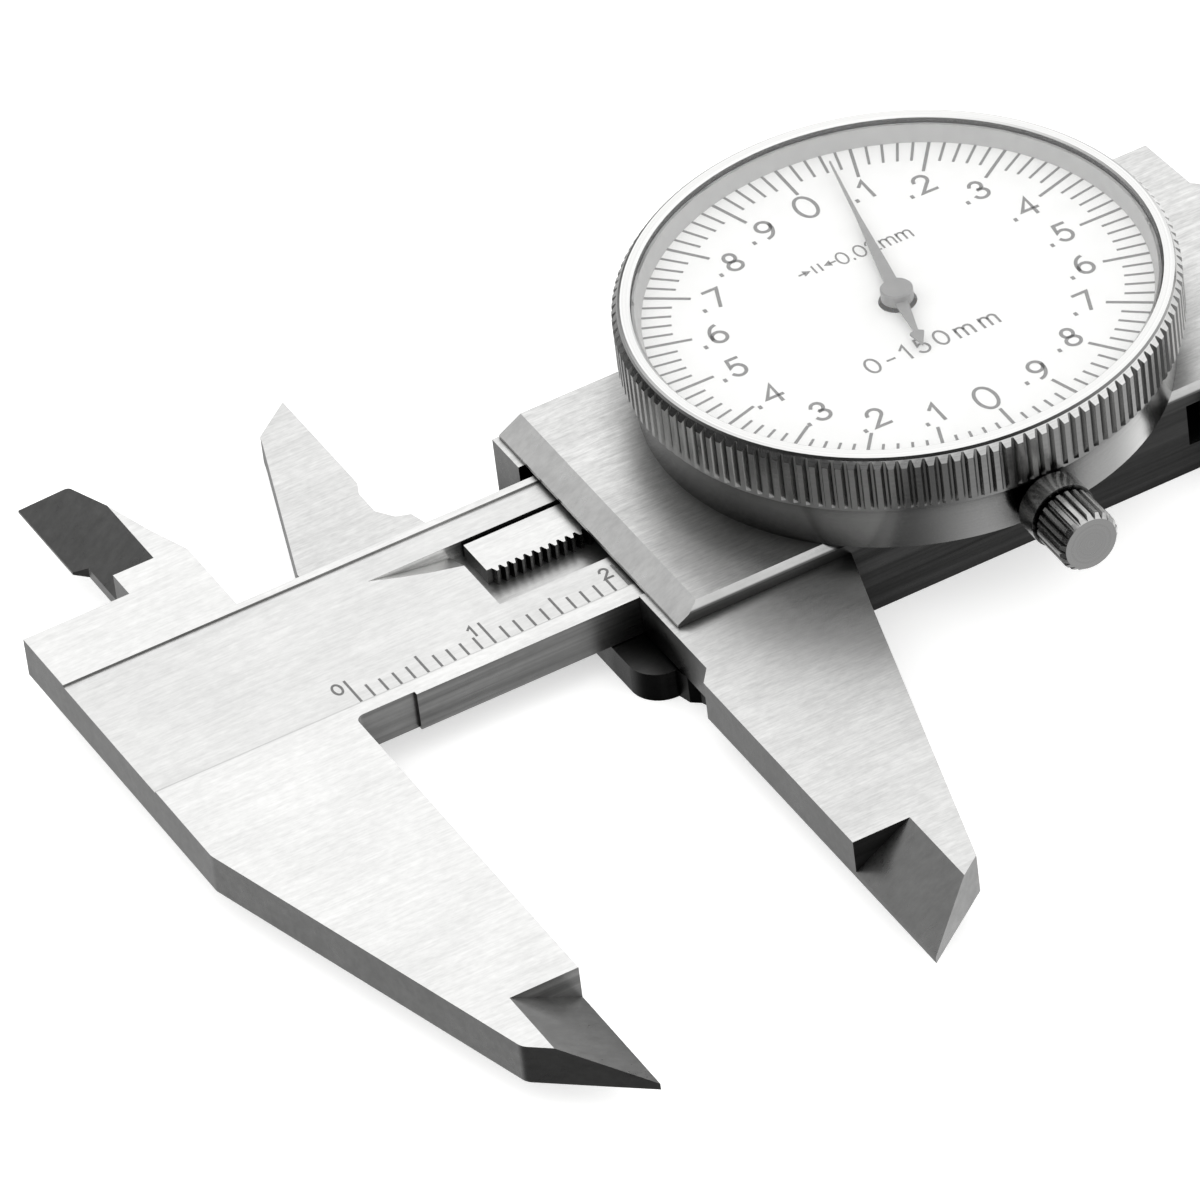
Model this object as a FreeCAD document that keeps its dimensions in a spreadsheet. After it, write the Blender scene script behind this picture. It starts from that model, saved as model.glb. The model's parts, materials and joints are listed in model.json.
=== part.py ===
"""Dial caliper, 0 to 150 mm, 0.02 mm divisions, one turn of the pointer for every 2 mm.

Frame: origin in the middle of the fixed outside jaw's measuring face. +X runs along the beam
as the jaws open, +Y points to the inside jaws and +Z points out of the dial. Every piece is
drawn from the beam's datum, the point of its front face on its centreline in the plane of
that measuring face. Pieces that travel with the slider are drawn from the same point of the
slider, in the plane of the moving jaw, and are placed by the opening.
"""
import FreeCAD, Part
import math
import os
import re
import Sketcher

Vector = FreeCAD.Vector
Z_AXIS = Vector(0, 0, 1)

# ---------------------------------------------------------------------------
# Driving dimensions, millimetres
# ---------------------------------------------------------------------------
DIMENSIONS = {
    # where the beam's datum stands from the origin
    "datum_high": 27.5,
    "datum_front": 1.5,
    # pose and scale
    "opening": 20.066,             # distance between the measuring faces as drawn
    "dial_turn": 1.22,             # degrees that the zero of the dial stands clockwise of +Y
    "pitch": 0.625,                # rack pitch
    "reading_per_turn": 2.0,       # slider travel for one turn of the pointer
    # beam
    "beam_half": 7.6,              # half the beam's width
    "beam_thick": 3.0,
    "beam_left": 14.1,             # outer end of the fixed jaw
    "beam_end": 216.0,             # tail end of the beam
    "recess_deep": 0.15,           # shallow channel that carries the scale
    "recess_low": 6.1,
    "recess_high": 7.0,
    "relief_long": 4.4,            # relief in the lower edge beside the fixed jaw
    "relief_edge": 7.27,
    "groove_left": 13.3,           # rack groove
    "groove_low": 2.6,
    "groove_high": 4.65,
    "groove_deep": 1.5,
    "rod_half": 1.5,               # depth rod and its groove in the beam's back
    "rod_groove_half": 1.55,
    "rod_groove_deep": 1.0,
    "rod_groove_left": 44.0,
    # jaws
    "jaw_reach": 47.4,             # centreline to the tips of the outside jaws
    "bevel_start": 37.3,           # centreline to the start of the knife edges
    "knife_deep": 2.5,             # depth of the knife bevel at the measuring face
    "inside_plane": 7.0,           # inside jaws' measuring edges, left of the outside ones
    "inside_reach": 28.2,
    # rack
    "rack_left": 14.34,
    "rack_right": 212.0,
    "rack_tips": 0.72,
    "rack_back": 4.35,
    "rack_top": 0.3,               # depth of the rack's face below the beam's face
    # slider
    "slider_top": 0.2,
    "slider_bottom": 5.3,
    "floor_top": 3.1,
    "slider_right": 52.0,
    "slider_low": 12.1,
    "root_low": 14.5,              # lower end of the thick root of the outside jaw
    "slider_high": 12.4,
    "wall_low": 7.65,              # inner face of the lower wall
    "wall_high": 8.75,             # inner face of the upper wall, behind the gib
    "wall_left": 0.9,
    "wall_right": 40.0,            # end of the lower wall, where the thumb roller starts
    "jaw_bottom": 2.8,
    # cover plate
    "cover_left": 1.38,
    "cover_right": 54.0,
    "cover_top": 1.45,
    "cover_bevel": 1.75,
    # dial
    "dial_x": 26.0,
    "dial_y": 0.5,
    "case_radius": 18.0,
    "case_inner": 16.3,
    "case_floor": 2.25,
    "case_top": 4.85,
    "neck_radius": 17.3,
    "neck_top": 6.9,
    "bezel_bottom": 4.95,
    "bezel_top": 9.45,
    "bezel_radius": 18.9,
    "knurl_bottom": 5.3,
    "ledge_bottom": 7.0,
    "dial_bottom": 7.3,
    "dial_top": 7.7,
    "glass_radius": 17.6,
    "glass_bottom": 8.95,
    # movement
    "train_distance": 8.1,         # dial centre to either wheel arbor
    "train_module": 0.15,
    "wheel_teeth": 90.0,
    "leaf_teeth": 18.0,
    "rack_pinion_teeth": 16.0,
    "rack_pinion_y": -0.70,
    "bridge_bottom": 5.3,
    "bridge_top": 6.0,
    "pillar_circle": 13.5,
    "case_screw_circle": 12.5,
    # bezel clamp
    "clamp_z": 3.1,
    "clamp_end": 24.3,             # dial centre to the knob's end face
    # thumb roller and lock screw
    "roller_x": 45.9,
    "roller_radius": 4.4,
    "lock_z": 1.4,
}

doc = FreeCAD.newDocument("dial_caliper")
sheet = doc.addObject("Spreadsheet::Sheet", "dims")
for row, (alias, amount) in enumerate(DIMENSIONS.items(), start=1):
    sheet.set("A%d" % row, alias.replace("_", " "))
    sheet.set("B%d" % row, str(amount))
    sheet.setAlias("B%d" % row, alias)
doc.recompute()

WORD = re.compile(r"[a-z][a-z_]+")
PIECES = []


def bound(text):
    """Return an expression with each alias pointed at the sheet."""
    return WORD.sub(lambda m: "dims." + m.group(0) if m.group(0) in DIMENSIONS else m.group(0), str(text))


def value(text):
    """Return the number that an expression stands for."""
    return float(sheet.evalExpression(bound(text)))


def size(alias):
    """Read one driving dimension back from the sheet."""
    return float(sheet.get(alias))


def hand_in(piece, label, on_slider, place=Vector()):
    """Name a finished piece, and place it from the beam's or the slider's datum."""
    piece.Label = label
    datum = ("opening" if on_slider else "0", "datum_high", "datum_front")
    for letter, start, away in zip("xyz", datum, place):
        piece.setExpression("Placement.Base." + letter, bound("%s + (%.6f)" % (start, away)))
    PIECES.append(piece)
    return piece


class Piece:
    """One separate piece, built up in a PartDesign body from outlines bound to the sheet."""

    def __init__(self, label, on_slider=False):
        self.body = doc.addObject("PartDesign::Body", label + "_body")
        self.name = label
        hand_in(self.body, label, on_slider)

    def sketch(self, plane, offset):
        support = [o for o in self.body.Origin.OriginFeatures if o.Role == plane][0]
        sketch = self.body.newObject("Sketcher::SketchObject", self.name + "_sketch")
        sketch.AttachmentSupport = [(support, "")]
        sketch.MapMode = "FlatFace"
        sketch.setExpression("AttachmentOffset.Base.z", bound(offset))
        return sketch

    @staticmethod
    def pin(sketch, kind, geometry, point, text):
        """Constrain a point's distance from the sketch's origin to an expression."""
        constraint = sketch.addConstraint(Sketcher.Constraint(kind, -1, 1, geometry, point, value(text)))
        name = "%s%d" % (kind, constraint)
        sketch.renameConstraint(constraint, name)
        sketch.setExpression("Constraints." + name, bound(text))

    def draw_outline(self, sketch, points):
        corners = [Vector(value(a), value(b), 0) for a, b in points]
        first = sketch.GeometryCount
        count = len(corners)
        for i in range(count):
            sketch.addGeometry(Part.LineSegment(corners[i], corners[(i + 1) % count]), False)
        for i in range(count):
            after = first + (i + 1) % count
            sketch.addConstraint(Sketcher.Constraint("Coincident", first + i, 2, after, 1))
        for i, (a, b) in enumerate(points):
            self.pin(sketch, "DistanceX", first + i, 1, a)
            self.pin(sketch, "DistanceY", first + i, 1, b)

    def draw_circles(self, sketch, circles):
        for a, b, radius in circles:
            centre = Vector(value(a), value(b), 0)
            index = sketch.addGeometry(Part.Circle(centre, Z_AXIS, value(radius)), False)
            self.pin(sketch, "DistanceX", index, 3, a)
            self.pin(sketch, "DistanceY", index, 3, b)
            size = sketch.addConstraint(Sketcher.Constraint("Radius", index, value(radius)))
            sketch.renameConstraint(size, "Radius%d" % size)
            sketch.setExpression("Constraints.Radius%d" % size, bound(radius))

    def feature(self, kind, plane, offset, length, outline, circles):
        sketch = self.sketch(plane, offset)
        if outline:
            self.draw_outline(sketch, outline)
        self.draw_circles(sketch, circles)
        made = self.body.newObject("PartDesign::" + kind, self.name + "_" + kind.lower())
        made.Profile = sketch
        made.setExpression("Length", bound(length))
        return made

    def pad(self, start, length, outline=None, circles=(), plane="XY_Plane"):
        """Add material from start, along the plane's normal."""
        return self.feature("Pad", plane, start, length, outline, circles)

    def pocket(self, start, length, outline=None, circles=(), plane="XY_Plane", reverse=False):
        """Cut from start against the plane's normal, or along it when reversed."""
        doc.recompute()
        before = self.body.Shape.Volume
        made = self.feature("Pocket", plane, start, length, outline, circles)
        made.Reversed = reverse
        doc.recompute()
        if self.body.Shape.Volume > before - 1e-6:
            raise RuntimeError("a pocket in %s cuts nothing" % self.name)
        return made

    def round_corners(self, corners, radius):
        """Fillet the upright edges that stand at the given corners."""
        doc.recompute()
        tip = self.body.Tip
        wanted = [(value(a), value(b)) for a, b in corners]
        names = []
        for number, edge in enumerate(tip.Shape.Edges, start=1):
            box = edge.BoundBox
            upright = box.XLength < 1e-6 and box.YLength < 1e-6
            if upright and any(math.hypot(box.XMin - x, box.YMin - y) < 1e-4 for x, y in wanted):
                names.append("Edge%d" % number)
        fillet = self.body.newObject("PartDesign::Fillet", self.name + "_fillet")
        fillet.Base = (tip, names)
        fillet.Radius = radius
        return fillet


def rectangle(left, low, right, high):
    return [(left, low), (right, low), (right, high), (left, high)]


def cylinder(radius, centre, height, axis=Z_AXIS):
    """A Part cylinder with its size and place bound to the sheet; centre is its lower end."""
    made = doc.addObject("Part::Cylinder", "cylinder")
    made.setExpression("Radius", bound(radius))
    made.setExpression("Height", bound(height))
    made.Placement = FreeCAD.Placement(Vector(), FreeCAD.Rotation(Z_AXIS, axis))
    for letter, text in zip("xyz", centre):
        made.setExpression("Placement.Base." + letter, bound(text))
    return made


def fuse(*parts):
    made = doc.addObject("Part::MultiFuse", "fuse")
    made.Shapes = list(parts)
    return made


def cut(base, tool):
    made = doc.addObject("Part::Cut", "cut")
    made.Base = base
    made.Tool = tool
    return made


def group(parts):
    made = doc.addObject("Part::Compound", "group")
    made.Links = list(parts)
    return made


def slotted_screw(x, y, head_radius, head_low, head_high, shank_radius, shank_end, slot_from_below):
    """A cheese-head screw along Z, with a driver slot across its head."""
    head = cylinder(head_radius, (x, y, head_low), "(%s) - (%s)" % (head_high, head_low))
    if slot_from_below:
        shank = cylinder(shank_radius, (x, y, head_high), "(%s) - (%s)" % (shank_end, head_high))
        slot_z = head_low
    else:
        shank = cylinder(shank_radius, (x, y, shank_end), "(%s) - (%s)" % (head_low, shank_end))
        slot_z = "(%s) - slot_deep" % head_high
    slot = doc.addObject("Part::Box", "slot")
    slot_long = 3.0
    slot_wide = 0.3
    slot_deep = 0.2
    slot.Length = slot_long
    slot.Width = slot_wide
    slot.Height = slot_deep
    slot_z = str(slot_z).replace("slot_deep", str(slot_deep))
    slot.setExpression("Placement.Base.x", bound("(%s) - %s" % (x, slot_long / 2)))
    slot.setExpression("Placement.Base.y", bound("(%s) - %s" % (y, slot_wide / 2)))
    slot.setExpression("Placement.Base.z", bound(slot_z))
    return cut(fuse(head, shank), slot)


def from_dial(radius, degrees):
    """Expressions for a point on a circle round the dial's centre, counted from +X."""
    x = "dial_x + (%s) * %.6f" % (radius, math.cos(math.radians(degrees)))
    y = "dial_y + (%s) * %.6f" % (radius, math.sin(math.radians(degrees)))
    return x, y


# ---------------------------------------------------------------------------
# Toothed outlines
# ---------------------------------------------------------------------------
PRESSURE_ANGLE = math.radians(20)
ADDENDUM = 0.9            # in modules, a little short so that tips stay clear of roots
DEDENDUM = 1.3


def tooth_half_angle(radius, teeth, module, play):
    """Half the angle that an involute tooth takes up at a radius."""
    pitch_radius = teeth * module / 2
    base_radius = pitch_radius * math.cos(PRESSURE_ANGLE)
    half_at_pitch = math.pi / (2 * teeth) - play / (4 * pitch_radius)
    involute_at_pitch = math.tan(PRESSURE_ANGLE) - PRESSURE_ANGLE
    angle = math.acos(min(1.0, base_radius / radius))
    return half_at_pitch + involute_at_pitch - (math.tan(angle) - angle)


def gear_face(centre, teeth, module, play, first_tooth):
    """The face of a spur gear with a tooth centred on the angle first_tooth."""
    teeth = int(teeth)
    pitch_radius = teeth * module / 2
    root = pitch_radius - DEDENDUM * module
    base = pitch_radius * math.cos(PRESSURE_ANGLE)
    tip = pitch_radius + ADDENDUM * module
    flank = sorted({root, max(root, base), pitch_radius, (pitch_radius + tip) / 2, tip})
    points = []
    for tooth in range(teeth):
        middle = first_tooth + 2 * math.pi * tooth / teeth
        for side, radii in ((-1, flank), (1, flank[::-1])):
            for radius in radii:
                angle = middle + side * tooth_half_angle(radius, teeth, module, play)
                points.append(centre + Vector(radius * math.cos(angle), radius * math.sin(angle), 0))
    return Part.Face(Part.makePolygon(points + points[:1]))


def fluted_face(radius, flutes, deep):
    """The face of a knurled or fluted round, with one straight-sided notch a flute."""
    points = []
    for flute in range(flutes):
        for share, reach in ((0.0, radius), (0.42, radius), (0.62, radius - deep), (0.80, radius - deep)):
            angle = 2 * math.pi * (flute + share) / flutes
            points.append(Vector(reach * math.cos(angle), reach * math.sin(angle), 0))
    return Part.Face(Part.makePolygon(points + points[:1]))


def turned(profile):
    """A solid of revolution about Z from (radius, height) points."""
    points = [Vector(radius, 0, height) for radius, height in profile]
    face = Part.Face(Part.makePolygon(points + points[:1]))
    return face.revolve(Vector(), Z_AXIS, 360)


def shaped(label, shape, on_slider, place=Vector(), turn=FreeCAD.Rotation()):
    """Hand in a shape made with Part's own functions, placed after its shape is set."""
    made = doc.addObject("Part::Feature", label + "_shape")
    made.Shape = shape
    made.Placement = FreeCAD.Placement(place, turn)
    return hand_in(made, label, on_slider, place)


def prism(face, low, high):
    lifted = face.copy()
    lifted.translate(Vector(0, 0, low))
    return lifted.extrude(Vector(0, 0, high - low))


# ---------------------------------------------------------------------------
# Beam body
# ---------------------------------------------------------------------------
RACK_SCREW_X = (40, 90, 140, 190)
RACK_SCREW_Y = 2.95
STOP_SCREW_X = 209.0
STOP_SCREW_Y = 5.6


def make_beam():
    """The main scale: beam, fixed outside jaw and fixed inside jaw in one piece."""
    beam = Piece("beam")
    beam.pad("-beam_thick", "beam_thick", [
        ("0", "-jaw_reach"), ("0", "-relief_edge"), ("relief_long", "-relief_edge"),
        ("relief_long", "-beam_half"), ("beam_end", "-beam_half"), ("beam_end", "beam_half"),
        ("-0.87", "beam_half"), ("-0.87", "14.6"), ("-2.0", "17.8"), ("-3.2", "22.0"),
        ("-4.1", "inside_reach - 2.3"), ("-inside_plane", "inside_reach"),
        ("-inside_plane", "20.2"), ("0.8 - inside_plane", "19.3"), ("0.8 - inside_plane", "12.75"),
        ("-beam_left", "12.75"), ("-beam_left", "-13.9"), ("-6.6", "-41.8")])
    beam.round_corners([("-beam_left", "-13.9"), ("-6.6", "-41.8")], 1.2)
    beam.round_corners([("-0.87", "14.6"), ("-2.0", "17.8"), ("-4.1", "inside_reach - 2.3")], 1.0)
    beam.round_corners([("0", "-relief_edge")], 0.6)
    beam.pocket("0", "recess_deep",
                rectangle("-beam_left - 1", "-recess_low", "beam_end + 1", "recess_high"))
    beam.pocket("0", "groove_deep",
                rectangle("groove_left", "-groove_low", "beam_end - 3", "groove_high"))
    # knife edges: slopes cut down to the measuring faces
    beam.pocket("50", "50 - bevel_start", [
        ("-5", "0"), ("1", "-1.2 * knife_deep"), ("1", "1"), ("-5", "1")], plane="XZ_Plane")
    beam.pocket("-15.1", "15", [
        ("-3.16", "0"), ("-inside_plane - 1", "-3.53"), ("-inside_plane - 1", "1"), ("-3.16", "1")],
        plane="XZ_Plane")
    # depth rod groove and screw holes, from the back
    beam.pocket("-beam_thick", "rod_groove_deep", rectangle(
        "rod_groove_left", "-rod_groove_half", "beam_end + 1", "rod_groove_half"), reverse=True)
    rack_holes = [(x, RACK_SCREW_Y, 0.5) for x in RACK_SCREW_X]
    rack_heads = [(x, RACK_SCREW_Y, 1.0) for x in RACK_SCREW_X]
    beam.pocket("-beam_thick", "beam_thick - groove_deep", circles=rack_holes, reverse=True)
    beam.pocket("-beam_thick", "0.6", circles=rack_heads, reverse=True)
    stop_holes = [(STOP_SCREW_X, y, 0.6) for y in (-STOP_SCREW_Y, STOP_SCREW_Y)]
    beam.pocket("-beam_thick", "2", circles=stop_holes, reverse=True)
    make_run_out(beam)


def make_run_out(beam):
    """The long pointed run-out that the groove's milling cutter leaves at its start."""
    axis_z = 68.37
    middle_x = 21.0
    # across the groove: place, and half the run-out's length there
    reach = ((4.65, 14.4), (2.0, 8.0), (-0.6, 7.5), (-2.6, 0.0))
    sketch = beam.sketch("YZ_Plane", str(middle_x))
    sketch.AttachmentOffset = FreeCAD.Placement(Vector(0, axis_z, middle_x), FreeCAD.Rotation())
    outline = [(y, "-%.4f" % math.hypot(axis_z, half)) for y, half in reach]
    inner = "-%.4f" % (axis_z - 6)
    outline += [(reach[-1][0], inner), (reach[0][0], inner)]
    beam.draw_outline(sketch, outline)
    groove = beam.body.newObject("PartDesign::Groove", "beam_run_out")
    groove.Profile = sketch
    groove.ReferenceAxis = (sketch, ["H_Axis"])
    groove.Angle = 360


def rack_gap_near(x):
    """The centre of the rack's tooth gap nearest to x."""
    pitch = size("pitch")
    first = size("rack_left") + 1.5 * pitch
    return first + round((x - first) / pitch) * pitch


def make_rack():
    """The toothed bar that drives the movement; its teeth face the lower edge of the beam."""
    pitch = size("pitch")
    module = pitch / math.pi
    tips = size("rack_tips")
    deep = (ADDENDUM + DEDENDUM) * module
    play = 0.04
    lean = math.tan(PRESSURE_ANGLE)
    half_tip = pitch / 4 - play / 4 - ADDENDUM * module * lean
    half_root = pitch / 4 - play / 4 + DEDENDUM * module * lean
    left, right = size("rack_left"), size("rack_right")
    back = size("rack_back")
    points = [Vector(left, back, 0), Vector(left, tips + deep, 0)]
    for tooth in range(1, int((right - left) / pitch)):
        middle = left + tooth * pitch
        flanks = ((-half_root, tips + deep), (-half_tip, tips), (half_tip, tips), (half_root, tips + deep))
        points += [Vector(middle + x, y, 0) for x, y in flanks]
    points += [Vector(right, tips + deep, 0), Vector(right, back, 0)]
    bar = prism(Part.Face(Part.makePolygon(points + points[:1])),
                -size("groove_deep"), -size("rack_top"))
    holes = [Part.makeCylinder(0.5, 0.9, Vector(x, RACK_SCREW_Y, -size("groove_deep")))
             for x in RACK_SCREW_X]
    shaped("rack", bar.cut(Part.makeCompound(holes)), False)


def make_beam_fasteners():
    rack_screws = [slotted_screw(x, RACK_SCREW_Y, 0.95, "-beam_thick + 0.02", "-beam_thick + 0.6",
                                 0.5, "-0.7", True) for x in RACK_SCREW_X]
    hand_in(group(rack_screws), "rack_screws", False)
    stop = Piece("end_stop")
    stop.pad("-5", "5 - beam_thick", rectangle(204.5, -7.2, 213, 7.2))
    stop.round_corners([(204.5, -7.2), (213, -7.2), (213, 7.2), (204.5, 7.2)], 1.0)
    holes = [(STOP_SCREW_X, y, 0.6) for y in (-STOP_SCREW_Y, STOP_SCREW_Y)]
    heads = [(STOP_SCREW_X, y, 1.2) for y in (-STOP_SCREW_Y, STOP_SCREW_Y)]
    stop.pocket("-5", "3", circles=holes, reverse=True)
    stop.pocket("-5", "0.8", circles=heads, reverse=True)
    screws = [slotted_screw(STOP_SCREW_X, y, 1.15, "-4.95", "-4.2", 0.6, "-1.2", True)
              for y in (-STOP_SCREW_Y, STOP_SCREW_Y)]
    hand_in(group(screws), "end_stop_screws", False)


# ---------------------------------------------------------------------------
# Slider body
# ---------------------------------------------------------------------------
COVER_SCREWS = ((5.0, -9.8), (36.0, -9.8), (5.0, 10.6), (47.5, 10.6))
GIB_SCREW_X = (12.0, 40.0)
ROD_FOOT_X = (47.0, 51.0)


def make_slider():
    """The sliding frame: floor behind the beam, two walls, outside jaw and inside jaw."""
    slider = Piece("slider", on_slider=True)
    roller_y = "-wall_low - roller_radius"
    # floor with the arm that carries the inside jaw, and the lug under the thumb roller
    slider.pad("-slider_bottom", "slider_bottom - floor_top", [
        ("-1.45", "-slider_low"), ("0.85", "-slider_low"), ("1.1", "-13.1"), ("1.7", "-13.6"),
        ("2.0", "-root_low"), ("11.0", "-root_low"), ("12.4", "-slider_low"),
        ("roller_x - 3.6", "-slider_low"), ("roller_x - 2.4", "-slider_low - 2.4"),
        ("roller_x + 2.4", "-slider_low - 2.4"), ("roller_x + 3.6", "-slider_low"),
        ("slider_right", "-slider_low"), ("slider_right", "slider_high"),
        ("wall_left", "slider_high"), ("wall_left", "10.9"), ("-5.2", "10.9"), ("-5.6", "12.5"),
        ("-6.6", "12.9"), ("-7.45", "14.2"), ("-7.45", "16.5"), ("-inside_plane", "17.5"),
        ("-inside_plane", "inside_reach"), ("-10.0", "inside_reach - 2.4"),
        ("-10.3", "inside_reach - 3.4"), ("-14.8", "11.4"), ("-14.8", "8.6"), ("-12.5", "4.4"),
        ("-4.5", "3.4"), ("-1.5", "0.4")])
    slider.round_corners([("-1.45", "-slider_low")], 2.2)
    slider.round_corners([("-14.8", "8.6"), ("-12.5", "4.4"), ("-4.5", "3.4"), ("-1.5", "0.4")], 1.5)
    # lower wall, the root of the jaw and the jaw
    slider.pad("-floor_top", "floor_top + slider_top",
               rectangle("2.0", "-slider_low", "wall_right", "-wall_low"))
    slider.pad("-floor_top", "floor_top + slider_top",
               rectangle("2.0", "-root_low", "11.0", "-slider_low"))
    slider.pad("-jaw_bottom", "jaw_bottom + slider_top", [
        ("wall_left", "-wall_low"), ("wall_left", "-16.7"), ("0", "-17.9"), ("0", "-jaw_reach"),
        ("5.8", "-43.0"), ("12.65", "-18.1"), ("14.4", "-slider_low"), ("14.4", "-wall_low")])
    slider.pad("-floor_top", "floor_top + slider_top",
               rectangle("slider_right - 1.1", "-slider_low", "slider_right", "-wall_low"))
    # upper wall
    slider.pad("-floor_top", "floor_top + slider_top",
               rectangle("wall_left", "wall_high", "slider_right", "slider_high"))
    # knife edges
    slider.pocket("50", "50 - bevel_start", [
        ("4.2", "slider_top"), ("-0.84", "slider_top - 1.2 * knife_deep"), ("-0.84", "1"), ("4.2", "1")],
        plane="XZ_Plane")
    slider.pocket("-15.5", "15", [
        ("-10.4", "-5.6"), ("-6.8", "-3.2"), ("-6.0", "-3.2"), ("-6.0", "-5.6")], plane="XZ_Plane")
    # holes for the cover plate's screws, the roller pin and the depth rod's foot and screw
    slider.pocket("-slider_bottom", "6", circles=[(x, y, 0.7) for x, y in COVER_SCREWS], reverse=True)
    slider.pocket("-slider_bottom", "1", circles=[(x, y, 1.3) for x, y in COVER_SCREWS], reverse=True)
    slider.pocket("-slider_bottom", "3", circles=[("roller_x", roller_y, 0.75)], reverse=True)
    foot_left, foot_right = ROD_FOOT_X
    slider.pocket("-floor_top", "1.2", rectangle(
        foot_left, "-rod_half", foot_right, "rod_half"))
    foot_middle = (foot_left + foot_right) / 2
    slider.pocket("-slider_bottom", "1.5", circles=[(foot_middle, 0, 0.6)], reverse=True)
    slider.pocket("-slider_bottom", "0.5", circles=[(foot_middle, 0, 1.1)], reverse=True)
    # screw holes across the upper wall, for the gib screws and the lock screw
    cross_holes = [(x, "-lock_z", 0.8) for x in GIB_SCREW_X] + [("dial_x", "-lock_z", 1.0)]
    slider.pocket("-wall_high", "slider_high - wall_high", circles=cross_holes, plane="XZ_Plane")


def make_cover():
    """The front plate that closes the slider and carries the dial case."""
    cover = Piece("cover_plate", on_slider=True)
    cover.pad("slider_top", "cover_top - slider_top", [
        ("cover_left", "-slider_low"), ("cover_right", "-slider_low"), ("cover_right", "4.6"),
        ("slider_right - 0.1", "6.9"), ("slider_right - 0.4", "slider_high - 0.15"),
        ("cover_left", "slider_high - 0.15")])
    cover.round_corners([("cover_right", "-slider_low")], 2.0)
    cover.pocket("13", "26", [
        ("cover_left - 0.1", "0.39"), ("cover_left + cover_bevel", "cover_top"),
        ("cover_left + cover_bevel", "2"), ("cover_left - 0.1", "2")], plane="XZ_Plane")
    cover.pocket("cover_right + 1", "cover_right + 1", [
        ("-slider_low - 0.1", "cover_top - 0.6"), ("-slider_low + 0.5", "cover_top"),
        ("-slider_low + 0.5", "2"), ("-slider_low - 0.1", "2")], plane="YZ_Plane")
    cover.pocket("slider_top", "0.75", circles=[(x, y, 0.7) for x, y in COVER_SCREWS], reverse=True)
    pinion_x = "dial_x - %.6f" % ARBOR_OFFSET_X
    cover.pocket("cover_top", "2", circles=[(pinion_x, "rack_pinion_y", 2.2)])
    cover.pocket("cover_top", "0.9",
                 circles=[from_dial("case_screw_circle", a) + (0.6,) for a in CASE_SCREW_ANGLES])
    screws = [slotted_screw(x, y, 1.2, "-slider_bottom + 0.05", "-slider_bottom + 1", 0.7,
                            "slider_top + 0.7", True) for x, y in COVER_SCREWS]
    hand_in(group(screws), "cover_plate_screws", True)


def make_gib():
    """The bronze strip that takes up play against the beam's upper edge, and its set screws."""
    gib = Piece("gib", on_slider=True)
    gib.pad("-2.9", "2.8", rectangle(2, "beam_half + 0.08", 51, "wall_high - 0.03"))
    screw_long = "slider_high - wall_high - 0.1"
    screws = [cylinder(0.8, (x, "wall_high - 0.03", "-lock_z"), screw_long, Vector(0, 1, 0))
              for x in GIB_SCREW_X]
    hand_in(group(screws), "gib_screws", True)


def make_depth_rod():
    """The flat rod that slides out of the beam's tail, with its foot in the slider's floor."""
    rod = Piece("depth_rod", on_slider=True)
    foot_left, foot_right = ROD_FOOT_X
    foot_middle = (foot_left + foot_right) / 2
    rod.pad("-2.95", "0.85", [
        (foot_left, "-rod_half"), ("beam_end - opening - 2.4", "-rod_half"),
        ("beam_end - opening", "-rod_half + 1.6"), ("beam_end - opening", "rod_half"),
        (foot_left, "rod_half")])
    rod.pad("-floor_top - 1.2", "2.2", rectangle(foot_left, "-rod_half", foot_right, "rod_half"))
    rod.pocket("-floor_top - 1.2", "1.7", circles=[(foot_middle, 0, 0.6)], reverse=True)
    screw = slotted_screw(foot_middle, 0, 1.05, "-slider_bottom", "-slider_bottom + 0.5", 0.6, "-2.7", True)
    hand_in(screw, "depth_rod_screw", True)


def make_thumb_roller():
    """The knurled roller that drives the slider along the beam's lower edge, and its pin."""
    radius = size("roller_radius")
    centre = Vector(size("roller_x"), -size("wall_low") - radius, 0)
    wheel = prism(fluted_face(radius, 44, 0.25), -2.9, -0.6)
    rounded = turned([(0.8, -2.9), (radius - 0.35, -2.9), (radius, -2.55), (radius, -0.95),
                      (radius - 0.35, -0.6), (0.8, -0.6)])
    shaped("thumb_roller", wheel.common(rounded), True, centre)
    x, y = "roller_x", "-wall_low - roller_radius"
    pin = fuse(cylinder(0.75, (x, y, "-5"), 4.5), cylinder(1.6, (x, y, "-0.55"), 0.5))
    hand_in(pin, "roller_pin", True)


def make_lock_screw():
    """The knurled screw that locks the slider by pressing on the gib."""
    head = prism(fluted_face(2.2, 30, 0.22), 0, 3.6)
    rounded = turned([(0, 0), (1.9, 0), (2.2, 0.3), (2.2, 3.2), (1.8, 3.6), (0, 3.6)])
    collar = Part.makeCylinder(1.5, 0.5, Vector(0, 0, -0.5))
    thread_long = 3.8
    thread = Part.makeCylinder(0.95, thread_long + 0.3, Vector(0, 0, -thread_long - 0.3))
    screw = head.common(rounded).fuse([collar, thread]).removeSplitter()
    place = Vector(size("dial_x"), size("slider_high") + 0.55, -size("lock_z"))
    shaped("lock_screw", screw, True, place, FreeCAD.Rotation(Z_AXIS, Vector(0, 1, 0)))


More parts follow.
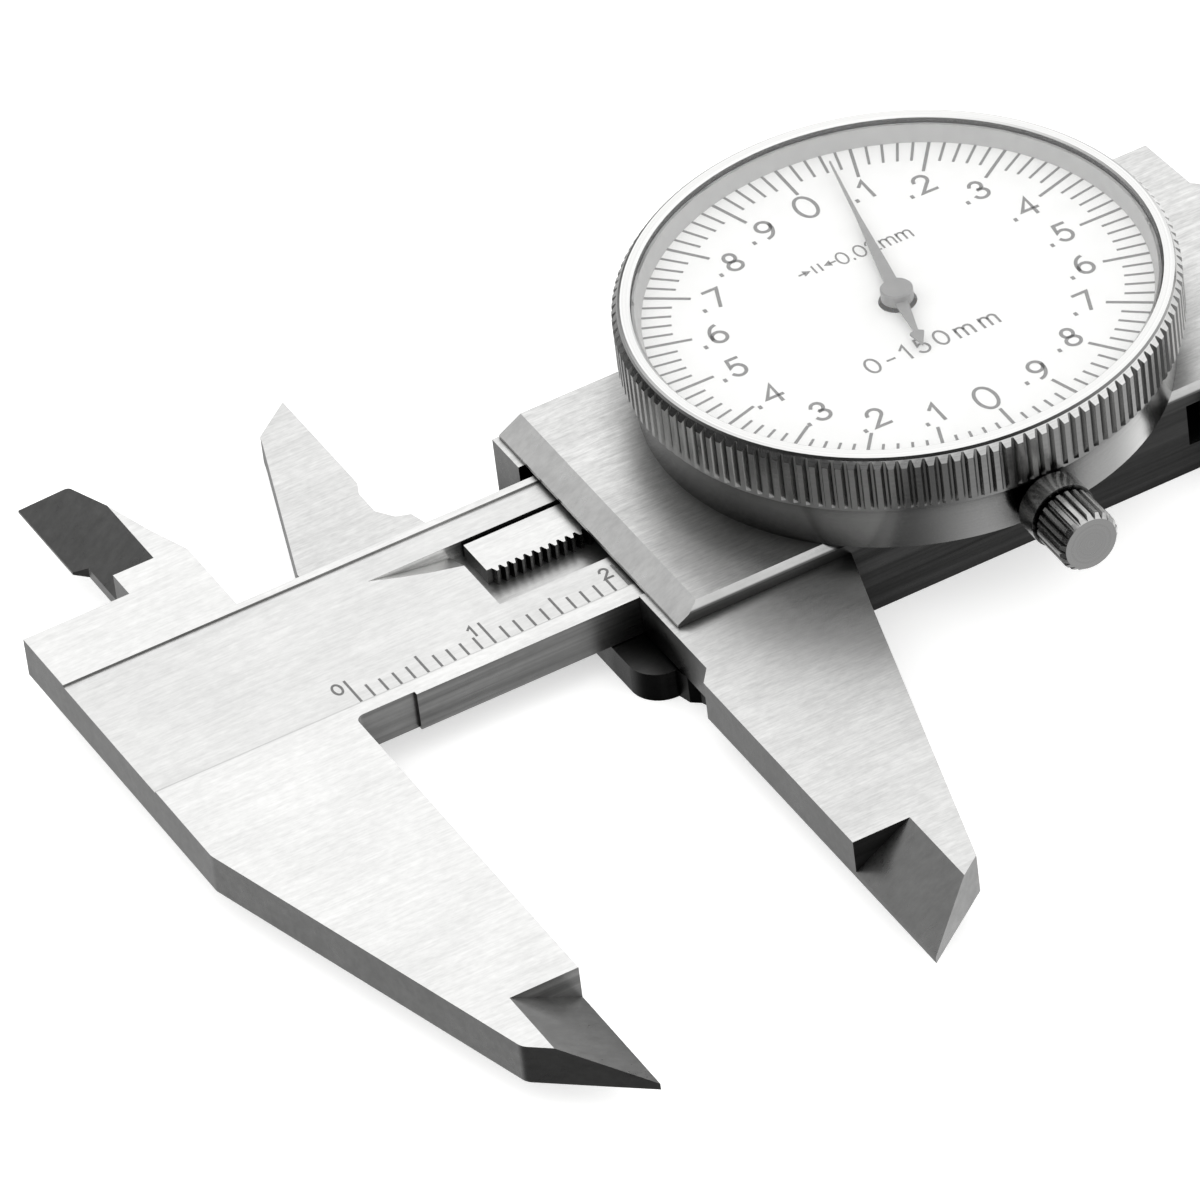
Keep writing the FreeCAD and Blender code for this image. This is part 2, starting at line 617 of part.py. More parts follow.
# ---------------------------------------------------------------------------
# Dial case and movement
# ---------------------------------------------------------------------------
CASE_SCREW_ANGLES = (50, 130, 230, 310)
PILLAR_ANGLES = (65, 115, 245, 295)
ARBOR_OFFSET_Y = size("dial_y") - size("rack_pinion_y")
ARBOR_OFFSET_X = math.sqrt(size("train_distance") ** 2 - ARBOR_OFFSET_Y ** 2)
DIAL_CENTRE = Vector(size("dial_x"), size("dial_y"), 0)
DRIVE_CENTRE = DIAL_CENTRE - Vector(ARBOR_OFFSET_X, ARBOR_OFFSET_Y, 0)
BACKLASH_CENTRE = DIAL_CENTRE + Vector(ARBOR_OFFSET_X, ARBOR_OFFSET_Y, 0)
SHOE_CIRCLE = 17.65       # the shoe stands in the case's rim, just outside the neck
SHOE_RADIUS = 0.28
COLLAR_NECK_RADIUS = 1.5


def case_profile():
    """The section of the case: floor, wall, and the neck with its groove for the spring ring."""
    bottom, floor = size("cover_top"), size("case_floor")
    outer, inner, top = size("case_radius"), size("case_inner"), size("case_top")
    neck, neck_top = size("neck_radius"), size("neck_top")
    groove_low, groove_high, groove_root = 5.8, 6.4, neck - 0.4
    return [(0, bottom), (outer, bottom), (outer, top), (neck, top), (neck, groove_low),
            (groove_root, groove_low), (groove_root, groove_high), (neck, groove_high),
            (neck, neck_top), (inner, neck_top), (inner, floor), (0, floor)]


def make_case():
    """The round case, turned from one blank and drilled for its screws, bushes and clamp."""
    floor = size("cover_top")
    thick = size("case_floor") - floor
    holes = [Part.makeCylinder(2.2, thick, DRIVE_CENTRE - DIAL_CENTRE + Vector(0, 0, floor))]
    for place in (Vector(), BACKLASH_CENTRE - DIAL_CENTRE):
        holes.append(Part.makeCylinder(0.9, thick, place + Vector(0, 0, floor)))
    for angle in CASE_SCREW_ANGLES:
        place = Vector(size("case_screw_circle"), 0, floor)
        place = FreeCAD.Rotation(Z_AXIS, angle).multVec(place)
        holes.append(Part.makeCylinder(0.6, thick, place))
    clamp_start = Vector(0, -size("case_inner") + 0.3, size("clamp_z"))
    holes.append(Part.makeCylinder(COLLAR_NECK_RADIUS, 3, clamp_start, Vector(0, -1, 0)))
    holes.append(Part.makeCylinder(SHOE_RADIUS, 2, Vector(0, -SHOE_CIRCLE, size("clamp_z"))))
    body = turned(case_profile()).cut(holes)
    shaped("dial_case", body, True, DIAL_CENTRE)
    screws = []
    for angle in CASE_SCREW_ANGLES:
        x, y = from_dial("case_screw_circle", angle)
        screws.append(slotted_screw(x, y, 1.0, "case_floor", "case_floor + 0.5", 0.6, "0.6", False))
    hand_in(group(screws), "case_screws", True)


def make_bridge():
    """The movement's upper plate, its pillars and its screws."""
    bridge = Piece("movement_bridge", on_slider=True)
    thick = "bridge_top - bridge_bottom"
    centres = (DIAL_CENTRE, DRIVE_CENTRE, BACKLASH_CENTRE)
    bridge.pad("bridge_bottom", thick, circles=[("dial_x", "dial_y", 15.8)])
    holes = [from_dial("pillar_circle", a) + (0.5,) for a in PILLAR_ANGLES]
    holes += [(c.x, c.y, 0.9) for c in centres]
    bridge.pocket("bridge_top", thick, circles=holes)
    pillars, screws = [], []
    for angle in PILLAR_ANGLES:
        x, y = from_dial("pillar_circle", angle)
        pillar = cylinder(1.0, (x, y, "case_floor"), "bridge_bottom - case_floor")
        pillars.append(cut(pillar, cylinder(0.5, (x, y, "bridge_bottom - 0.9"), 0.9)))
        screws.append(slotted_screw(x, y, 0.9, "bridge_top", "bridge_top + 0.4",
                                    0.5, "bridge_bottom - 0.8", False))
    hand_in(group(pillars), "bridge_pillars", True)
    hand_in(group(screws), "bridge_screws", True)


def bush(centre, outer, bore, low, high):
    place = (centre.x, centre.y, low)
    height = "(%s) - (%s)" % (high, low)
    return cut(cylinder(outer, place, height), cylinder(bore, place, height))


def make_bushes():
    """The pressed bearings in the case floor and in the bridge."""
    lower = [bush(DRIVE_CENTRE, 2.2, 0.64, "cover_top", "case_floor")]
    lower += [bush(c, 0.9, 0.39, "cover_top", "case_floor") for c in (DIAL_CENTRE, BACKLASH_CENTRE)]
    hand_in(group(lower), "lower_bushes", True)
    upper = [bush(c, 0.9, 0.39, "bridge_bottom", "bridge_top") for c in (DRIVE_CENTRE, BACKLASH_CENTRE)]
    upper.append(bush(DIAL_CENTRE, 0.9, 0.49, "bridge_bottom", "bridge_top"))
    hand_in(group(upper), "upper_bushes", True)


def stepped_shaft(*steps):
    """A shaft of (radius, low, high) steps about the local Z axis."""
    parts = [Part.makeCylinder(radius, high - low, Vector(0, 0, low)) for radius, low, high in steps]
    return parts[0].fuse(parts[1:])


def make_train():
    """The gear train: rack pinion and wheel, centre pinion with the pointer, backlash wheel."""
    module = size("train_module")
    play = 0.03
    # the rack pinion's tooth that fills the rack gap nearest to the arbor
    rack_module = size("pitch") / math.pi
    pinion_radius = size("rack_pinion_teeth") * rack_module / 2
    arbor_x = size("opening") + DRIVE_CENTRE.x
    lead = (rack_gap_near(arbor_x) - arbor_x) / pinion_radius
    pinion = gear_face(Vector(), size("rack_pinion_teeth"), rack_module, 0.04, math.pi / 2 - lead)
    drive = stepped_shaft((0.6, -0.6, 4.6), (1.3, 2.4, 3.0), (0.36, 4.6, 5.9))
    drive = drive.fuse(prism(pinion, -1.4, -0.35))
    shaped("drive_arbor", drive, True, DRIVE_CENTRE)
    # both wheels have a tooth on the line of centres, where the centre pinion has a gap
    to_centre = math.atan2(ARBOR_OFFSET_Y, ARBOR_OFFSET_X)
    bore = Part.makeCylinder(0.6, 2, Vector(0, 0, 2))
    wheel = prism(gear_face(Vector(), size("wheel_teeth"), module, play, to_centre), 3.0, 3.5)
    windows = []
    for spoke in range(5):
        middle = FreeCAD.Rotation(Z_AXIS, 72 * spoke).multVec(Vector(3.7, 0, 2))
        windows.append(Part.makeCylinder(1.5, 3, middle))
    shaped("drive_wheel", wheel.cut([bore] + windows), True, DRIVE_CENTRE)
    from_centre = to_centre + math.pi
    second = prism(gear_face(Vector(), size("wheel_teeth"), module, play, from_centre), 3.9, 4.4)
    second = second.cut([Part.makeCylinder(0.5, 4, Vector(0, 0, 2))] + windows)
    shaped("backlash_wheel", second, True, BACKLASH_CENTRE)
    shaped("backlash_arbor", stepped_shaft((0.36, 1.5, 2.6), (0.5, 2.6, 5.0), (0.36, 5.0, 5.9)),
           True, BACKLASH_CENTRE)
    first_leaf = from_centre + math.pi / size("leaf_teeth")
    leaves = prism(gear_face(Vector(), size("leaf_teeth"), module, play, first_leaf), 2.7, 4.7)
    centre = stepped_shaft((0.36, 1.5, 2.7), (0.46, 4.7, 8.6)).fuse(leaves)
    shaped("centre_arbor", centre, True, DIAL_CENTRE)


def make_pointer():
    """The hand on its turned hub: a long spear, and a short tail with a small arrow."""
    turns = size("opening") / size("reading_per_turn")
    swing = -360.0 * (turns - math.floor(turns)) - size("dial_turn")
    hand_low, hand_high = 8.2, 8.38
    outline = [(-0.5, 0.0), (-0.36, 4.0), (-0.14, 9.0), (-0.05, 15.4), (0.05, 15.4), (0.14, 9.0),
               (0.36, 4.0), (0.5, 0.0), (0.4, -1.6), (0.15, -4.3), (0.5, -4.5), (0.0, -5.9),
               (-0.5, -4.5), (-0.15, -4.3), (-0.4, -1.6)]
    points = [Vector(x, y, hand_low) for x, y in outline]
    blade = Part.Face(Part.makePolygon(points + points[:1])).extrude(Vector(0, 0, hand_high - hand_low))
    hub = turned([(0, 7.8), (0.95, 7.8), (1.1, 7.95), (1.1, 8.74), (1.0, 8.84), (0, 8.84)])
    hand = blade.fuse(hub).cut(Part.makeCylinder(0.46, 0.8, Vector(0, 0, 7.8)))
    shaped("pointer", hand, True, DIAL_CENTRE, FreeCAD.Rotation(Z_AXIS, swing))


def make_hairspring():
    """The flat spiral spring under the backlash wheel, and the stud that holds its outer end."""
    turns, inner, outer = 4.0, 0.75, 4.6
    width, height, low = 0.10, 0.4, 2.9
    steps = int(turns * 24)
    edge, back = [], []
    for step in range(steps + 1):
        share = step / steps
        angle = 2 * math.pi * turns * share
        radius = inner + (outer - inner) * share
        outward = Vector(math.cos(angle), math.sin(angle), 0)
        edge.append(outward * (radius + width / 2))
        back.append(outward * (radius - width / 2))
    points = edge + back[::-1]
    spiral = prism(Part.Face(Part.makePolygon(points + points[:1])), low, low + height)
    shaped("hairspring", spiral, True, BACKLASH_CENTRE)
    stud = cylinder(0.45, (BACKLASH_CENTRE.x + outer + 0.5, BACKLASH_CENTRE.y, "case_floor"), 1.2)
    hand_in(group([stud]), "hairspring_stud", True)


# ---------------------------------------------------------------------------
# Bezel body
# ---------------------------------------------------------------------------
def make_bezel():
    """The knurled ring that turns on the case's neck, with the dial, spacer and glass in it."""
    outer, glass = size("bezel_radius"), size("glass_radius")
    neck, ledge = size("neck_radius"), size("case_inner") + 0.3
    bottom, top = size("bezel_bottom"), size("bezel_top")
    knurl, dial_low, ledge_low = size("knurl_bottom"), size("dial_bottom"), size("ledge_bottom")
    bore = neck + 0.05
    section = [(bore, bottom), (outer - 0.35, bottom), (outer - 0.35, knurl - 0.1), (outer, knurl + 0.1),
               (outer, top - 0.75), (outer - 0.36, top - 0.3), (outer - 0.46, top - 0.09),
               (outer - 0.62, top), (glass + 0.14, top), (glass, top - 0.1), (glass, dial_low),
               (ledge, dial_low), (ledge, ledge_low), (bore, ledge_low), (bore, 6.42),
               (bore + 0.4, 6.42), (bore + 0.4, 5.78), (bore, 5.78)]
    ring = turned(section)
    band = prism(fluted_face(outer, 136, 0.33), knurl - 0.1, top)
    plain = Part.makeCylinder(outer, knurl - 0.1)
    shaped("bezel", ring.common(band.fuse(plain)), True, DIAL_CENTRE)
    spring_inner, spring_outer = neck - 0.35, bore + 0.3
    spring = turned([(spring_inner, 5.83), (spring_outer, 5.83), (spring_outer, 6.37), (spring_inner, 6.37)])
    gap = Part.makeBox(3, 3, 2, Vector(neck - 1.5, -1.5, 5))
    shaped("bezel_spring_ring", spring.cut(gap), True, DIAL_CENTRE)
    dial = Piece("dial_face", on_slider=True)
    dial.pad("dial_bottom", "dial_top - dial_bottom",
             circles=[("dial_x", "dial_y", "glass_radius - 0.05"), ("dial_x", "dial_y", 1.3)])
    spacer = [(glass - 0.6, size("dial_top")), (glass - 0.05, size("dial_top")),
              (glass - 0.05, size("glass_bottom")), (glass - 0.25, size("glass_bottom"))]
    shaped("dial_spacer_ring", turned(spacer), True, DIAL_CENTRE)
    crystal = Piece("crystal", on_slider=True)
    crystal.pad("glass_bottom", "bezel_top - glass_bottom - 0.05",
                circles=[("dial_x", "dial_y", "glass_radius - 0.02")])


# ---------------------------------------------------------------------------
# Bezel clamp
# ---------------------------------------------------------------------------
def make_bezel_clamp():
    """The small fluted screw in the case's side, its collar and the shoe that it lifts."""
    away = Vector(0, -1, 0)
    place = Vector(0, 0, size("clamp_z"))
    collar_face, collar_back = 20.75, size("bezel_radius") + 0.15
    collar = Part.makeCylinder(2.35, collar_face - collar_back, place + away * collar_back, away)
    neck = Part.makeCylinder(COLLAR_NECK_RADIUS, collar_back - 16.8, place + away * 16.8, away)
    bore = Part.makeCylinder(0.85, 6, place + away * 16, away)
    shoe_hole = Part.makeCylinder(SHOE_RADIUS, 2, Vector(0, -SHOE_CIRCLE, size("clamp_z")))
    shaped("clamp_collar", collar.fuse(neck).cut([bore, shoe_hole]), True, DIAL_CENTRE)
    shoe = cylinder(SHOE_RADIUS, ("dial_x", "dial_y - %s" % SHOE_CIRCLE, "clamp_z + 0.85"),
                    "case_top + 0.05 - clamp_z - 0.85")
    hand_in(group([shoe]), "clamp_shoe", True)
    radius, knob_long = 2.2, 3.4
    knob = prism(fluted_face(radius, 22, 0.3), 0, knob_long)
    rounded = turned([(0, 0), (radius - 0.2, 0), (radius, 0.2), (radius, knob_long - 0.35),
                      (radius - 0.3, knob_long), (0, knob_long)])
    shank = Part.makeCylinder(0.8, 3.9, Vector(0, 0, -3.9))
    screw = knob.common(rounded).fuse(shank)
    place = DIAL_CENTRE + place + away * (size("clamp_end") - knob_long)
    shaped("bezel_clamp_screw", screw, True, place, FreeCAD.Rotation(Z_AXIS, away))


make_beam()
make_rack()
make_beam_fasteners()
make_slider()
make_cover()
make_gib()
make_depth_rod()
make_thumb_roller()
make_lock_screw()
make_case()
make_bridge()
make_bushes()
make_train()
make_pointer()
make_hairspring()
make_bezel()
make_bezel_clamp()
doc.recompute()

for made in doc.Objects:
    if "Invalid" in made.State or "Error" in made.State:
        raise RuntimeError("%s did not recompute: %s" % (made.Label, made.State))
os.makedirs("parts", exist_ok=True)
for piece in PIECES:
    shape = piece.Shape
    if shape.isNull() or not shape.isValid() or not shape.Solids:
        raise RuntimeError("%s has no valid solid" % piece.Label)
    shape.exportStep("parts/%s.step" % piece.Label)
    print("%-20s %2d solids %10.3f mm3" % (piece.Label, len(shape.Solids), shape.Volume))
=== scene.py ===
"""Looks of the dial caliper: finishes, engraved scale, dial print, light and camera."""
import json
import math
import bpy
import bmesh
from mathutils import Matrix, Vector


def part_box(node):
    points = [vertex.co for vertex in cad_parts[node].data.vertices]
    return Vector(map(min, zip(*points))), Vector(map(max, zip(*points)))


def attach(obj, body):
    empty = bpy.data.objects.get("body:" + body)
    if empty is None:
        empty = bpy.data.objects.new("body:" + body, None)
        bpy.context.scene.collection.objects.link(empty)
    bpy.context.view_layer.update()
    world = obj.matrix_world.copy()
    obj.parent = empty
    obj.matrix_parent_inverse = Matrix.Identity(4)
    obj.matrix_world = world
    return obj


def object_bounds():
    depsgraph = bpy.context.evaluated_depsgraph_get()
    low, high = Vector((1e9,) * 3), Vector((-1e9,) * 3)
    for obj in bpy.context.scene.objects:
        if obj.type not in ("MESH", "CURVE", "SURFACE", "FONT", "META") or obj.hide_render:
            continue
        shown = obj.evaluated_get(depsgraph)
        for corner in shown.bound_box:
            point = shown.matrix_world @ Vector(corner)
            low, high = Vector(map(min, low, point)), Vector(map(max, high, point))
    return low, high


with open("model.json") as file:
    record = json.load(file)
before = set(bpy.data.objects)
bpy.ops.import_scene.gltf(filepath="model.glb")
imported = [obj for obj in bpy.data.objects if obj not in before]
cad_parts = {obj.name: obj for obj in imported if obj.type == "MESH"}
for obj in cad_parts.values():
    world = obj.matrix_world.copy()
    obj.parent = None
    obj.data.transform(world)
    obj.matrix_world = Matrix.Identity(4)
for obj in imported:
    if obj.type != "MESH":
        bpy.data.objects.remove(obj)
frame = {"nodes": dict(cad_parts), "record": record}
cad_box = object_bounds()

MM = 0.001
NODES = frame["nodes"]


# ---------------------------------------------------------------------------
# Places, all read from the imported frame
# ---------------------------------------------------------------------------
def middle(node):
    """The centre of a node's box."""
    low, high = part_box(node)
    return (low + high) / 2


BEAM_LOW, BEAM_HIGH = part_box("beam")
CENTRELINE_Y = middle("depth_rod").y
FRONT_Z = BEAM_HIGH.z
SCALE_Z = FRONT_Z - 0.15 * MM             # floor of the shallow channel that carries the scale
CHANNEL_FOOT = 6.1 * MM                   # lower edge of that channel, below the centreline
DIAL_TURN = -1.22                         # degrees that the zero of the dial has been turned
DIAL_CENTRE = middle("dial_face")
COVER_LOW, COVER_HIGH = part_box("cover_plate")
# centre of the painted shade round the slider's floor corner, under the beam
FLOOR_CORNER = (COVER_LOW.x - 1.3 * MM, CENTRELINE_Y - 10.6 * MM, FRONT_Z - 4.6 * MM)
CHAMFER_FOOT = COVER_HIGH.z - 0.6 * MM    # where the chamfer of the cover's lower edge ends
DIAL_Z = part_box("dial_face")[1].z
MARK_LIFT = 0.012 * MM                    # marks stand this far off the face they lie on


# ---------------------------------------------------------------------------
# Materials
# ---------------------------------------------------------------------------
def grey(level):
    return (level, level, level, 1.0)


class Finish:
    """A material on one Principled shader, with short ways to add nodes to it."""

    def __init__(self, name, **settings):
        self.material = bpy.data.materials.new(name)
        self.material.use_nodes = True
        self.tree = self.material.node_tree
        self.shader = self.tree.nodes["Principled BSDF"]
        for socket, value in settings.items():
            self.feed(self.shader.inputs[socket.replace("_", " ")], value)

    def feed(self, socket, value):
        if isinstance(value, bpy.types.NodeSocket):
            self.tree.links.new(value, socket)
        else:
            socket.default_value = value

    def node(self, kind, inputs=None, **settings):
        made = self.tree.nodes.new("ShaderNode" + kind)
        for name, value in settings.items():
            setattr(made, name, value)
        for socket, value in (inputs or {}).items():
            self.feed(made.inputs[socket], value)
        return made

    def place(self):
        return self.node("TexCoord").outputs["Object"]

    def normal(self):
        return self.node("TexCoord").outputs["Normal"]

    def stretched(self, scale, point=None):
        """The object's own coordinates, in metres, scaled apart along each axis."""
        inputs = {"Vector": point or self.place(), "Scale": scale}
        return self.node("Mapping", inputs).outputs["Vector"]

    def noise(self, vector, scale=1.0, detail=3.0, roughness=0.6):
        inputs = {"Vector": vector, "Scale": scale, "Detail": detail, "Roughness": roughness}
        return self.node("TexNoise", inputs).outputs["Fac"]

    def remap(self, value, low, high, to_low, to_high):
        inputs = {"Value": value, "From Min": low, "From Max": high, "To Min": to_low, "To Max": to_high}
        return self.node("MapRange", inputs).outputs["Result"]

    def math(self, operation, first, second):
        return self.node("Math", {0: first, 1: second}, operation=operation).outputs[0]

    def mix(self, share, first, second):
        made = self.node("Mix", {"Factor": share}, data_type="FLOAT")
        self.feed(made.inputs[2], first)
        self.feed(made.inputs[3], second)
        return made.outputs[0]

    def colour(self, level, tint=(1.0, 1.0, 0.99)):
        """A grey level turned into a faintly tinted colour."""
        parts = [self.math("MULTIPLY", level, share) for share in tint]
        inputs = dict(zip(("Red", "Green", "Blue"), parts))
        return self.node("CombineColor", inputs).outputs["Color"]

    def bump(self, height, strength, distance=0.02 * MM):
        inputs = {"Height": height, "Strength": strength, "Distance": distance}
        self.feed(self.shader.inputs["Normal"], self.node("Bump", inputs).outputs["Normal"])

    def up_share(self, start=0.9, full=0.99):
        """One where a surface lies level, face up or face down, and nought on its sides."""
        z = self.node("SeparateXYZ", {"Vector": self.normal()}).outputs["Z"]
        return self.remap(self.math("ABSOLUTE", z, 0), start, full, 0.0, 1.0)


def worn(made, level, reach, dark, shut_at=0.3, open_at=0.65):
    """Painted shade: darken a level in corners and under overhangs, where light doesn't get in."""
    seen = made.node("AmbientOcclusion", {"Distance": reach}, samples=6).outputs["AO"]
    return made.math("MULTIPLY", level, made.remap(seen, shut_at, open_at, dark, 1.0))


def ground_steel(name, face=0.86, side=0.36, front=None, front_from=-0.97, grain=0.10, mottle=0.05,
                 face_dark=0.45, face_shut=0.3, side_dark=0.45, channel=False, painted_shade_at=None, foot=None):
    """Satin steel: bright faces ground lengthways, sides darkened as painted shade, and a painted-shade
    level of its own for -Y sides.

    Around one given place both are darkened with painted shade, as under an overhang, and a -Y side is
    darkened up to the height foot, painted shade standing in for a wall in shadow. This shade is painted
    into the colour, not cast by the lights.
    """
    made = Finish(name, Metallic=1.0)
    fine = made.noise(made.stretched((500, 7000, 7000)), detail=4)
    coarse = made.noise(made.stretched((60, 1500, 1500)), detail=2)
    streaks = made.noise(made.stretched((25, 1400, 1400)), detail=3)
    speckle = made.noise(made.stretched((1400, 2600, 2600)), detail=3)
    cloud = made.noise(made.place(), scale=160, detail=4)
    lines = made.math("ADD", made.math("MULTIPLY", fine, 0.65), made.math("MULTIPLY", coarse, 0.35))
    is_face = made.up_share()
    shade = made.math("MULTIPLY", made.remap(lines, 0.3, 0.7, 1 - grain, 1 + grain * 0.6),
                      made.remap(speckle, 0.3, 0.7, 1 - mottle, 1 + mottle))
    bright = made.math("MULTIPLY", shade, face)
    if channel:
        # painted shade: the channel's dark foot line, from channel_shade
        bright = made.math("MULTIPLY", bright, channel_shade(made))
        # painted light: the sloping end of the rack's groove takes the full side level
        side = made.mix(in_run_out(made), side, 1.0)
    y = made.node("SeparateXYZ", {"Vector": made.normal()}).outputs["Y"]
    # painted shade: below the height foot a -Y side is darkened, standing in for a wall in shadow
    if foot is not None:
        z = made.node("SeparateXYZ", {"Vector": made.place()}).outputs["Z"]
        front = made.remap(z, foot - 0.04 * MM, foot + 0.04 * MM, 0.1, front)
    # painted shade: -Y sides take their own darker level
    if front is not None:
        side = made.remap(y, front_from, front_from + 0.07, front, side)
    # long grinding marks show on the beam's own edges, and hardly on the sloping facets
    along = made.remap(made.math("ABSOLUTE", y, 0), 0.85, 1.0, 0.07, 0.38)
    streak = made.math("MULTIPLY", made.remap(streaks, 0.32, 0.68, -1.0, 1.0), along)
    shaded_side_level = made.math("MULTIPLY", made.math("ADD", streak, 1.0),
                     made.remap(speckle, 0.3, 0.7, 0.95, 1.05))
    # painted shade: sides are given the darker side level
    shaded_side_level = made.math("MULTIPLY", shaded_side_level, side)
    # painted shade from ambient occlusion, darker in corners and under overhangs
    level = made.mix(is_face, worn(made, shaded_side_level, 7 * MM, side_dark),
                     worn(made, bright, 5 * MM, face_dark, face_shut, 0.82))
    level = made.math("MULTIPLY", level, made.remap(cloud, 0.3, 0.7, 0.96, 1.03))
    # painted shade round one given place, as under an overhang
    if painted_shade_at is not None:
        away = made.node("VectorMath", {0: made.place(), 1: painted_shade_at}, operation="DISTANCE").outputs["Value"]
        level = made.math("MULTIPLY", level, made.remap(away, 3.3 * MM, 4.3 * MM, 0.2, 1.0))
    made.feed(made.shader.inputs["Base Color"], made.colour(level))
    rough = made.mix(is_face, 0.30, 0.34)
    rough = made.math("ADD", rough, made.remap(lines, 0.3, 0.7, 0.05, -0.04))
    rough = made.math("ADD", rough, made.remap(cloud, 0.3, 0.7, 0.03, -0.03))
    made.feed(made.shader.inputs["Roughness"], rough)
    made.bump(lines, 0.12)
    return made.material


def channel_shade(made):
    """The beam's shallow channel: smoother and a little darker, with a dark line of painted shade at its
    foot that stands in for the shade of its step.
    """
    parts = made.node("SeparateXYZ", {"Vector": made.place()})
    across = made.math("SUBTRACT", parts.outputs["Y"], CENTRELINE_Y)
    sunk = made.math("LESS_THAN", parts.outputs["Z"], FRONT_Z - 0.05 * MM)
    from_foot = made.math("ABSOLUTE", made.math("SUBTRACT", across, -CHANNEL_FOOT), 0)
    # painted shade: a dark line along the foot of the channel's step
    foot = made.remap(from_foot, 0.0, 0.16 * MM, 0.62, 1.0)
    return made.mix(sunk, foot, made.math("MULTIPLY", foot, 0.91))


def in_run_out(made):
    """One in the sloping end of the rack's groove, which is made brighter than its other sides by painted
    light.
    """
    parts = made.node("SeparateXYZ", {"Vector": made.place()})
    half_long = 5 * MM                    # half of the stretch before the rack that holds the slope
    from_slope = made.math("SUBTRACT", parts.outputs["X"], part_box("rack")[0].x - half_long)
    before_rack = made.math("LESS_THAN", made.math("ABSOLUTE", from_slope, 0), half_long)
    from_middle = made.math("ABSOLUTE", made.math("SUBTRACT", parts.outputs["Y"], middle("rack").y), 0)
    in_groove = made.math("LESS_THAN", from_middle, 4 * MM)
    sunk = made.math("LESS_THAN", parts.outputs["Z"], SCALE_Z - 0.01 * MM)
    return made.math("MULTIPLY", made.math("MULTIPLY", before_rack, in_groove), sunk)


def turned_steel(name, centre, level=0.5, rough=0.24, axis="Z", top=None, reach=4 * MM, dark=0.2,
                 shut_at=0.3, open_at=0.65):
    """Lathe-turned metal: rings round the piece's own axis, with a brighter face if top is given."""
    made = Finish(name, Metallic=1.0)
    point = made.node("VectorMath", {0: made.place(), 1: tuple(centre)}, operation="SUBTRACT").outputs[0]
    parts = made.node("SeparateXYZ", {"Vector": point})
    across = [c for c in "XYZ" if c != axis]
    squares = [made.math("MULTIPLY", parts.outputs[c], parts.outputs[c]) for c in across]
    radius = made.math("SQRT", made.math("ADD", *squares), 0)
    rings = made.node("CombineXYZ", {"X": radius, "Y": parts.outputs[axis]}).outputs[0]
    lines = made.noise(made.stretched((7000, 7000, 1), point=rings), detail=4)
    cloud = made.noise(made.place(), scale=220, detail=3)
    shade = made.remap(lines, 0.3, 0.7, 0.95, 1.04)
    # painted shade from ambient occlusion, darker in corners and under overhangs
    side = worn(made, level, reach, dark, shut_at, open_at)
    if top is not None:
        side = made.mix(made.up_share(0.3, 0.75), side, top)
    made.feed(made.shader.inputs["Base Color"], made.colour(made.math("MULTIPLY", shade, side)))
    rough = made.math("ADD", made.remap(lines, 0.3, 0.7, rough + 0.05, rough - 0.04),
                      made.remap(cloud, 0.3, 0.7, 0.03, -0.03))
    made.feed(made.shader.inputs["Roughness"], rough)
    made.bump(lines, 0.1)
    return made.material


def enamel():
    """The dial's white enamel, very slightly uneven."""
    made = Finish("dial_enamel")
    cloud = made.noise(made.place(), scale=700, detail=5)
    white = made.colour(made.remap(cloud, 0.3, 0.7, 0.80, 0.84), (1, 1, 0.99))
    made.feed(made.shader.inputs["Base Color"], white)
    made.feed(made.shader.inputs["Roughness"], made.remap(cloud, 0.3, 0.7, 0.42, 0.52))
    made.bump(cloud, 0.05)
    return made.material


def ink(name, level):
    """Printed or filled marks, with a little mottle."""
    made = Finish(name)
    cloud = made.noise(made.place(), scale=9000, detail=3)
    made.feed(made.shader.inputs["Base Color"],
              made.colour(made.remap(cloud, 0.3, 0.7, level * 0.8, level * 1.25)))
    made.feed(made.shader.inputs["Roughness"], made.remap(cloud, 0.3, 0.7, 0.5, 0.65))
    return made.material


def paint(name, level, rough=0.4):
    made = Finish(name)
    cloud = made.noise(made.place(), scale=1500, detail=4)
    made.feed(made.shader.inputs["Base Color"],
              made.colour(made.remap(cloud, 0.3, 0.7, level * 0.93, level * 1.05)))
    made.feed(made.shader.inputs["Roughness"], made.remap(cloud, 0.3, 0.7, rough + 0.06, rough - 0.05))
    made.bump(cloud, 0.05)
    return made.material


def brass(name, tint):
    made = Finish(name, Metallic=1.0)
    lines = made.noise(made.stretched((600, 6000, 6000)), detail=3)
    made.feed(made.shader.inputs["Base Color"], made.colour(made.remap(lines, 0.3, 0.7, 0.85, 1.05), tint))
    made.feed(made.shader.inputs["Roughness"], made.remap(lines, 0.3, 0.7, 0.36, 0.26))
    made.bump(lines, 0.1)
    return made.material


def clear_glass():
    """The crystal: mostly seen through, with a sharp reflection and faint smears."""
    made = Finish("crystal_glass", IOR=1.45, Alpha=0.06)
    made.feed(made.shader.inputs["Base Color"], grey(0.95))
    smear = made.noise(made.place(), scale=260, detail=3)
    made.feed(made.shader.inputs["Roughness"], made.remap(smear, 0.3, 0.7, 0.02, 0.06))
    return made.material


# ---------------------------------------------------------------------------
# Strokes: marks and figures as narrow ribbons
# ---------------------------------------------------------------------------
def arc(cx, cy, rx, ry, start, end, steps=20):
    """Points along an ellipse, with angles in degrees."""
    points = []
    for step in range(steps + 1):
        angle = math.radians(start + (end - start) * step / steps)
        points.append((cx + rx * math.cos(angle), cy + ry * math.sin(angle)))
    return points


